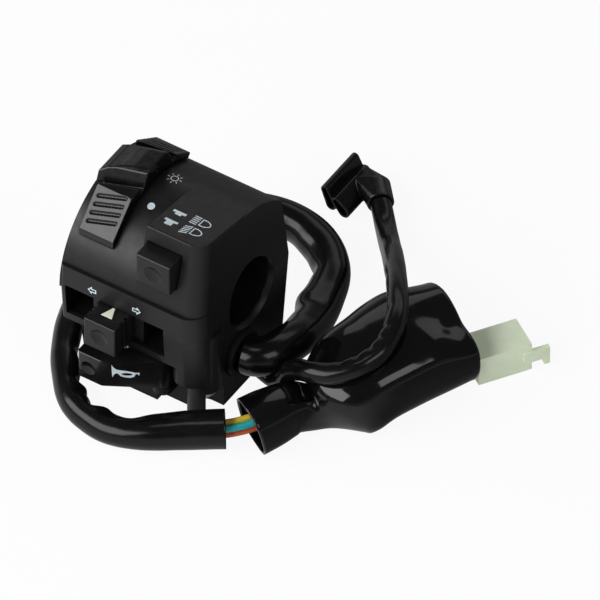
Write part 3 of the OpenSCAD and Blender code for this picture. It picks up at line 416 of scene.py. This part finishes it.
def sleeve(name, route, wall, folds, lumps, sides, step, mat, seed):
    """Loose PVC sleeve. folds are dents at (distance, angle, depth, length, spread) in mm and degrees."""
    path = curve_through(route, step)
    total = length_of(path)
    frames = headings(path)
    rings, inner = [], []
    for i, (p, (t, side, up)) in enumerate(zip(path, frames)):
        s = total * i / (len(path) - 1)
        centre, r = Vector(p[:3]), p[3]
        row, row_in = [], []
        for k in range(sides):
            a = 2 * math.pi * k / sides
            out = math.cos(a) * side + math.sin(a) * up
            spot = centre + r * out
            swell = noise.noise(Vector((seed, 0, 0)) + spot / 9.0) * lumps
            swell += noise.noise(Vector((0, seed, 0)) + spot / 3.6) * lumps * 0.35
            dent = 0.0
            for at, angle, depth, length, wide in folds:
                dent += depth * bell(s - at, length) * around(a, angle, wide)
            fade = smooth(s, 0, 4)
            radius = r - 0.02 + (min(swell, 0.25) * 0.6 - dent - lumps * 0.25) * fade
            q = centre + radius * out
            # the underside lies flat on the floor
            q.z = max(q.z, FLOOR_LEVEL)
            row.append(q)
            row_in.append(q - wall * out)
        rings.append(row)
        inner.append(row_in)
    o = tube(name, rings, inner, mat)
    return o, [Vector(p[:3]) * MM for p in path], total * MM


def strand(name, points, radius, mat):
    """Wire as one open spline."""
    curve = bpy.data.curves.new(name, "CURVE")
    curve.dimensions = "3D"
    spline = curve.splines.new("POLY")
    path = curve_through(points, 1.0)
    spline.points.add(len(path) - 1)
    for q, p in zip(spline.points, path):
        q.co = (p[0] * MM, p[1] * MM, p[2] * MM, 1)
    curve.bevel_depth = radius * MM
    curve.bevel_resolution = 4
    curve.use_fill_caps = True
    o = new_object(name, curve, mat, "housing")
    return o, length_of(path) * MM, [v * MM for v in path[0][:3]]


# Harness sleeve: one turn round the housing
harness_folds = [
    (20, 195, 0.5, 3.0, 50), (30, 200, -0.5, 4.0, 50), (43, 172, -1.7, 5.0, 55),
    (58.5, 175, 1.1, 4.0, 50), (74, 170, -0.5, 5.0, 50), (90, 180, 0.6, 3.5, 50),
    (115, 175, 0.5, 4.0, 50), (145, 180, 0.6, 3.5, 50), (168, 175, 0.5, 4.0, 50),
    (190, 165, 0.6, 3.0, 45), (204, 165, 1.5, 2.0, 42), (209.5, 155, -0.9, 2.2, 36),
    (211, 120, 0.5, 2.0, 26), (218.5, 160, 1.6, 2.2, 42), (224, 152, -1.0, 3.4, 38),
    (227, 118, 0.6, 3.0, 24), (235, 158, 1.3, 4.0, 46),
]
harness, harness_path, harness_length = sleeve(
    "harness_sleeve_pvc", HARNESS, 0.7, harness_folds, 0.16, 48, 0.7, SLEEVING, 3.7)
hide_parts("harness_sleeve")

# Four wires from the sleeve into the connector, turned so that three show side by side as in the photograph
WIRE_R = 1.15
WIRE_OFF = 1.725


def about_bundle(angle):
    """Route of the wire that lies at this angle around the bundle's middle, in degrees."""
    a = math.radians(angle)
    return [tuple(Vector(p) + WIRE_OFF * (math.cos(a) * side + math.sin(a) * up))
            for p, (t, side, up) in zip(BUNDLE, headings(BUNDLE))]


wires = []
for name, angle, mat in (
    ("yellow", 130, YELLOW), ("teal", 40, TEAL), ("white", 220, WHITE), ("red", 310, RED),
):
    o, wire_length, start = strand("wire_%s_run" % name, about_bundle(angle), WIRE_R, mat)
    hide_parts("wire_" + name)
    wires.append((o, wire_length, start))

# Clutch lead: two wires, then a thin sleeve to the boot
for k, way in enumerate((-1, 1)):
    o, wire_length, start = strand(
        "clutch_wire_%d" % (k + 1), [(x, y + 1.15 * way, z) for x, y, z in CLUTCH], 1.1, LEAD)
    if k == 0:
        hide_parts("clutch_wires")
lead_folds = [
    (20, 90, 0.3, 1.4, 50), (38, 120, 0.35, 1.3, 40), (43.5, 125, 0.4, 1.2, 40), (49, 130, 0.4, 1.2, 40),
    (54, 135, 0.4, 1.1, 40), (59, 140, 0.35, 1.2, 40), (68, 165, 0.25, 2.0, 50), (88, 180, 0.2, 3.0, 50),
]
# its neck reaches back towards the outlet and narrows there
LEAD_R = 3.4
lead_neck = [(30.5, -4.3, -26.4, 2.4), (36, -5, -27.3, 2.5), (40.3, -6, -23.6, 3.0)]
lead_route = lead_neck + [(*p, LEAD_R) for p in LEAD_ROUTE]
lead, lead_path, lead_length = sleeve(
    "clutch_lead_pvc", lead_route, 0.5, lead_folds, 0.10, 32, 0.6, LEAD, 8.1)
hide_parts("clutch_lead_sleeve")


# Wide sleeve over the connector; distances along it in millimetres from its open mouth
PINCH_AT = 23.5
LIP_LENGTH = 16
MOUTH_LENGTH = 16
MOUTH_SKEW = 0.34


def bag_piece():
    """Wide sleeve: round at its open mouth, pinched, then flat and broad up to the connector."""
    sides, wall = 96, 0.55
    path = curve_through(BAG_ROUTE, 0.9)
    total = length_of(path)
    frames = headings(path)
    rings, inner = [], []
    for i, (p, (t, side, up)) in enumerate(zip(path, frames)):
        s = total * i / (len(path) - 1)
        centre = Vector(p[:3])
        row, row_in = [], []
        pinch = bell(s - PINCH_AT, 5.0)
        sinking = smooth(s, total - LIP_LENGTH, total)
        for k in range(sides):
            a = 2 * math.pi * k / sides
            c, d = math.cos(a), math.sin(a)
            # the section is squarer below, where it lies on the floor
            power = 2.7 if d >= 0 else 3.0
            scale = (abs(c) ** power + abs(d) ** power) ** (-1 / power)
            x, z = scale * c * p[3], scale * d * p[4]
            # creases that run out of the pinch
            crease = 0.08 * pinch * math.sin(6 * a + 0.5)
            crease += 0.12 * bell(s - 30, 5) * math.sin(5 * a - 0.6)
            crease += 0.12 * noise.noise(centre / 22 + Vector((c, d, 1.7)) * 0.9)
            # the lip that sinks onto the connector
            lip = sinking * (4.4 * around(a, 58, 30) + 1.6 * around(a, 150, 26) - 0.6 * around(a, 112, 18))
            # fuller just past the pinch on the near side, and towards the connector on the far side
            full = 3.6 * smooth(s, 22, 29) * bell(max(s - 29, 0), 10) * around(a, -28, 42)
            full += 3.6 * smooth(s, 40, 62) * around(a, 165, 40)
            size = math.hypot(x, z)
            factor = (size - 0.1 + min(crease, 0.3) + full - lip) / size
            q = centre + factor * (x * side + z * up)
            # the open mouth is cut so that its near wall reaches further out
            q -= t * (MOUTH_SKEW * TOWARD.dot(q - centre) * (1 - smooth(s, 0, MOUTH_LENGTH)))
            q.z = max(q.z, FLOOR_LEVEL)
            row.append(q)
            row_in.append(q - wall * (c * side + d * up))
        rings.append(row)
        inner.append(row_in)
    o = tube("connector_bag", rings, inner, BAG)
    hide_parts("connector_sleeve")
    return o


bag = bag_piece()
for k, (o, wire_length, start) in enumerate(wires):
    at_the_end = [nodes["connector_housing"]]
    if k == 0:
        at_the_end += [bag, nodes["connector_terminals"]]

# Materials of the rigid pieces
looks = {
    "upper_housing": SHELL, "lower_housing": SHELL, "housing_screws": STEEL, "light_lever": LEVER,
    "light_rotor": CARRIER, "light_contact_plate": BOARD, "light_terminals": BRASS, "light_bridge": BRASS,
    "light_detent_ball": STEEL, "light_detent_spring": STEEL, "dip_button": CONTROL, "dip_spring": STEEL,
    "dip_contact_block": BOARD, "dip_terminals": BRASS, "turn_knob": CONTROL, "turn_marker": INLAY,
    "turn_carriage": CONTROL, "turn_contact_plate": BOARD, "turn_terminals": BRASS, "turn_bridge": BRASS,
    "turn_detent_ball": STEEL, "turn_detent_spring": STEEL, "horn_lever": PADDLE, "horn_pivot_pin": STEEL,
    "horn_spring": STEEL, "horn_contact": BRASS, "horn_rivet": BRASS, "harness_grommet": SEAL,
    "connector_housing": NYLON, "connector_terminals": TIN, "clutch_boot": BOOT, "clutch_terminals": TIN,
}
for name, mat in looks.items():
    mesh = nodes[name].data
    mesh.materials.clear()
    mesh.materials.append(mat)

# The two return springs, which shorten when their button is pressed, are shown as copies of their CAD mesh,
# in place and tied to no body, and the CAD nodes are hidden
for name, body in (("dip_spring", "dip"), ("horn_spring", "horn")):
    coil = bpy.data.objects.new(name + "_coil", nodes[name].data.copy())
    scene.collection.objects.link(coil)
    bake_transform(coil)
    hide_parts(name)

# Softened edges on the pieces that show
for name, width in {
    "upper_housing": 0.35, "lower_housing": 0.35, "dip_button": 0.3, "turn_knob": 0.35,
    "horn_lever": 0.35, "connector_housing": 0.3, "harness_grommet": 0.4, "turn_marker": 0.1,
}.items():
    o = nodes[name]
    o.data.shade_smooth()
    weld = o.modifiers.new("weld", "WELD")
    weld.merge_threshold = 2e-6
    flat = o.modifiers.new("flat", "DECIMATE")
    flat.decimate_type = "DISSOLVE"
    flat.angle_limit = math.radians(0.6)
    edge = o.modifiers.new("edge", "BEVEL")
    edge.width = width * MM
    edge.segments = 3
    edge.limit_method = "ANGLE"
    edge.angle_limit = math.radians(32)
    edge.use_clamp_overlap = True
    even = o.modifiers.new("even", "WEIGHTED_NORMAL")
    even.weight = 80

# The lever and the boot are rounder: a fine skin, evened out
for name, voxel, rounds in (("light_lever", 0.22, 7), ("clutch_boot", 0.2, 6)):
    o = nodes[name]
    skin = o.modifiers.new("skin", "REMESH")
    skin.mode = "VOXEL"
    skin.voxel_size = voxel * MM
    skin.use_smooth_shade = True
    even = o.modifiers.new("even", "SMOOTH")
    even.factor = 0.5
    even.iterations = rounds


# Pictograms printed on the plastic: each is found under its pixel and laid on the surface that carries it
def surface_of(name):
    """Search tree of a CAD piece's faces."""
    o = nodes[name]
    points = [o.matrix_world @ v.co for v in o.data.vertices]
    return BVHTree.FromPolygons(points, [tuple(p.vertices) for p in o.data.polygons])


def ring(radius, count=36):
    """Outline of a disc."""
    return [(radius * math.cos(2 * math.pi * i / count), radius * math.sin(2 * math.pi * i / count))
            for i in range(count)]


def bar(a, b, width):
    """Outline of one straight stroke."""
    along = Vector((b[0] - a[0], b[1] - a[1])).normalized()
    off = Vector((-along.y, along.x)) * width / 2
    return [tuple(Vector(p) + k * off) for p, k in ((a, -1), (b, -1), (b, 1), (a, 1))]


def outlined(points, width):
    """A closed outline, given against the clock, as its outer and inner edge."""
    inner = []
    for p, q, r in zip(points[-1:] + points[:-1], points, points[1:] + points[:1]):
        before = Vector((q[0] - p[0], q[1] - p[1])).normalized()
        after = Vector((r[0] - q[0], r[1] - q[1])).normalized()
        n1, n2 = Vector((-before.y, before.x)), Vector((-after.y, after.x))
        inner.append(tuple(Vector(q) + (n1 + n2) * (width / (1 + n1.dot(n2)))))
    return [points, inner]


INK_ABOVE, INK_THICK = 0.03, 0.05


def pictogram(name, pixel, carrier, shapes, body="housing"):
    """shapes are lists of loops in mm on the surface, each with its holes; x runs along the bar."""
    tree = surface_of(carrier)
    right, up = pixel[0] - PIXELS / 2, PIXELS / 2 - pixel[1]
    aim = LOOK + (RIGHT * right + UP * up) / PIXELS_PER_METRE
    centre, normal, _, _ = tree.ray_cast(camera.location, (aim - camera.location).normalized())
    across = (Vector((1, 0, 0)) - normal.x * normal).normalized()
    upward = normal.cross(across)
    bm = bmesh.new()
    for loops in shapes:
        edges = []
        for loop in loops:
            verts = [bm.verts.new((x, y, 0)) for x, y in loop]
            edges += [bm.edges.new((verts[i - 1], verts[i])) for i in range(len(verts))]
        bmesh.ops.triangle_fill(bm, use_beauty=True, use_dissolve=False, edges=edges)
    for v in bm.verts:
        spot = centre + (v.co.x * across + v.co.y * upward) * MM
        hit = tree.ray_cast(spot + 2 * MM * normal, -normal)[0]
        v.co = (hit if hit else spot) + INK_ABOVE * MM * normal
    for face in bm.faces:
        face.normal_update()
        if face.normal.dot(normal) < 0:
            face.normal_flip()
    mesh = bpy.data.meshes.new(name)
    bm.to_mesh(mesh)
    bm.free()
    o = new_object(name, mesh, PRINT, body)
    ink = o.modifiers.new("ink", "SOLIDIFY")
    ink.thickness = INK_THICK * MM
    ink.offset = -1


bpy.context.view_layer.update()
BEAM = [
    (-1.2, 1.9), (-1.2, -1.7), (0.4, -1.75), (1.5, -1.3), (2.25, -0.6),
    (2.4, 0.1), (2.0, 1.0), (1.1, 1.65), (0.2, 1.9),
]
ARROW = [(-1.5, -0.7), (0.1, -0.7), (0.1, -1.5), (1.6, 0), (0.1, 1.5), (0.1, 0.7), (-1.5, 0.7)]
HORN = [
    (-4.2, -2.2), (-3.6, -1.0), (-2.8, -0.4), (-2.3, -0.8), (-1.6, -1.7), (-0.3, -2.1), (1.3, -2.2),
    (2.5, -1.7), (3.0, -0.4), (3.5, -0.5), (4.0, -1.1), (4.1, 0.2), (3.0, 0.0), (1.9, 0.3),
    (0.3, 0.6), (-1.6, 0.8), (-2.8, 1.0), (-3.8, 1.9), (-4.4, 3.0),
]
PUSHED = [
    (-2.3, -0.45), (-1.15, -0.45), (-1.15, -1.35), (1.0, -1.35),
    (1.0, -0.45), (2.2, -0.45), (2.2, 0.65), (-2.3, 0.65),
]
RAISED = [
    (-2.45, -0.1), (-1.5, -0.1), (-1.5, -1.9), (0.95, -1.9),
    (0.95, -0.1), (2.1, -0.1), (2.1, 0.9), (-2.45, 0.9),
]
STROKE = 0.36
pictogram("mark_off", (151.2, 206.1), "upper_housing", [[ring(1.2)]])
lamp_rays = [[bar(a, b, 0.3)] for a, b in zip(ring(1.75, 8), ring(2.45, 8))]
pictogram("mark_lamp", (174.8, 178.4), "upper_housing", [[ring(1.32), ring(0.99)]] + lamp_rays)
pictogram("mark_pushed", (180.05, 212.96), "upper_housing", [[PUSHED]])
pictogram("mark_raised", (171.25, 221.76), "upper_housing", [[RAISED]])
for name, pixel, fall in (
    ("mark_main_beam", (204.1, 224.0), 0.0), ("mark_dipped_beam", (194.97, 232.3), 0.95),
):
    lines = [[bar((-1.75, 0.93 * k), (-4.2, 0.93 * k - fall), 0.4)] for k in range(-2, 3)]
    pictogram(name, pixel, "upper_housing", [outlined(BEAM, STROKE)] + lines)
pictogram("mark_right", (136.3, 310.8), "upper_housing", [outlined(ARROW, STROKE)])
pictogram("mark_left", (92.1, 290.7), "upper_housing", [outlined([(-x, -y) for x, y in ARROW], STROKE)])
bugle_hole = [(0.3 + 1.7 * x, -0.75 + 0.55 * y) for x, y in ring(1.0, 20)]
pictogram("mark_horn", (126.05, 372.5), "horn_lever", [[HORN, bugle_hole]], "horn")

# Stage: a wide white floor, a dim sky with white behind the floor's edge, and four softboxes
FLOOR_RADIUS = 9
WHITE_SHARE = 0.92
floor_mesh = bpy.data.meshes.new("floor")
bm = bmesh.new()
bmesh.ops.create_circle(bm, cap_ends=True, radius=FLOOR_RADIUS, segments=96)
bm.to_mesh(floor_mesh)
bm.free()
floor = bpy.data.objects.new("floor", floor_mesh)
floor.location.z = FLOOR_TOP * MM
scene.collection.objects.link(floor)
FLOOR, tree, bsdf = material("floor")
cloud = grain(tree, place(tree), 1.2, 3.0, 0.5)
tree.links.new(shade(tree, cloud, (0.92, 0.92, 0.925), (0.95, 0.95, 0.95)), bsdf.inputs["Base Color"])
bsdf.inputs["Roughness"].default_value = 0.9
bsdf.inputs["Specular IOR Level"].default_value = 0.1
# The floor is white where it is looked at and keeps a little of the shadow. In reflections it is bright
# in front of the part and dark behind it
glow = tree.nodes.new("ShaderNodeEmission")
rays = tree.nodes.new("ShaderNodeLightPath")
geometry = tree.nodes.new("ShaderNodeNewGeometry")
behind = tree.nodes.new("ShaderNodeVectorMath")
behind.operation = "DOT_PRODUCT"
behind.inputs[1].default_value = (0.55, 0.83, 0)
tree.links.new(geometry.outputs["Incoming"], behind.inputs[0])
mirrored = spread(tree, behind.outputs["Value"], 0.1, 0.68, -0.5, 0.2)
bright = combine(tree, "MAXIMUM", rays.outputs["Is Camera Ray"], mirrored)
tree.links.new(bright, glow.inputs["Strength"])
looked = combine(tree, "MAXIMUM", rays.outputs["Is Camera Ray"], rays.outputs["Is Glossy Ray"])
blend = tree.nodes.new("ShaderNodeMixShader")
tree.links.new(combine(tree, "MULTIPLY", looked, WHITE_SHARE), blend.inputs["Fac"])
tree.links.new(bsdf.outputs["BSDF"], blend.inputs[1])
tree.links.new(glow.outputs["Emission"], blend.inputs[2])
tree.links.new(blend.outputs["Shader"], tree.nodes["Material Output"].inputs["Surface"])
floor_mesh.materials.append(FLOOR)

world = bpy.data.worlds.new("world")
scene.world = world
world.use_nodes = True
tree = world.node_tree
coord = tree.nodes.new("ShaderNodeTexCoord")
split = tree.nodes.new("ShaderNodeSeparateXYZ")
tree.links.new(coord.outputs["Generated"], split.inputs["Vector"])
sky = shade(tree, split.outputs["Z"], (0.42, 0.42, 0.43), (0.09, 0.09, 0.095), 0.0, 0.26)
rays = tree.nodes.new("ShaderNodeLightPath")
backdrop = mixed(tree, rays.outputs["Is Camera Ray"], sky, (0.97, 0.97, 0.97))
tree.links.new(backdrop, tree.nodes["Background"].inputs["Color"])
tree.nodes["Background"].inputs["Strength"].default_value = 1.0


LIT = Vector((0.02, 0.01, -0.02))


def softbox(name, azimuth, elevation, distance, width, height, power):
    """Area lamp that faces the part; sizes in metres, power in watts."""
    data = bpy.data.lights.new(name, "AREA")
    data.shape = "RECTANGLE"
    data.size, data.size_y = width, height
    data.energy = power
    o = bpy.data.objects.new(name, data)
    scene.collection.objects.link(o)
    way = direction(azimuth, elevation)
    o.location = LIT + distance * way
    o.rotation_euler = (-way).to_track_quat("-Z", "Y").to_euler()


softbox("key", -36, 34, 1.3, 2.0, 0.8, 23.0)
softbox("back", -160, 34, 1.3, 1.4, 0.4, 1.3)
softbox("top", 20, 82, 1.5, 0.5, 0.3, 0.9)
softbox("right", 80, 38, 1.3, 0.7, 0.5, 3.0)
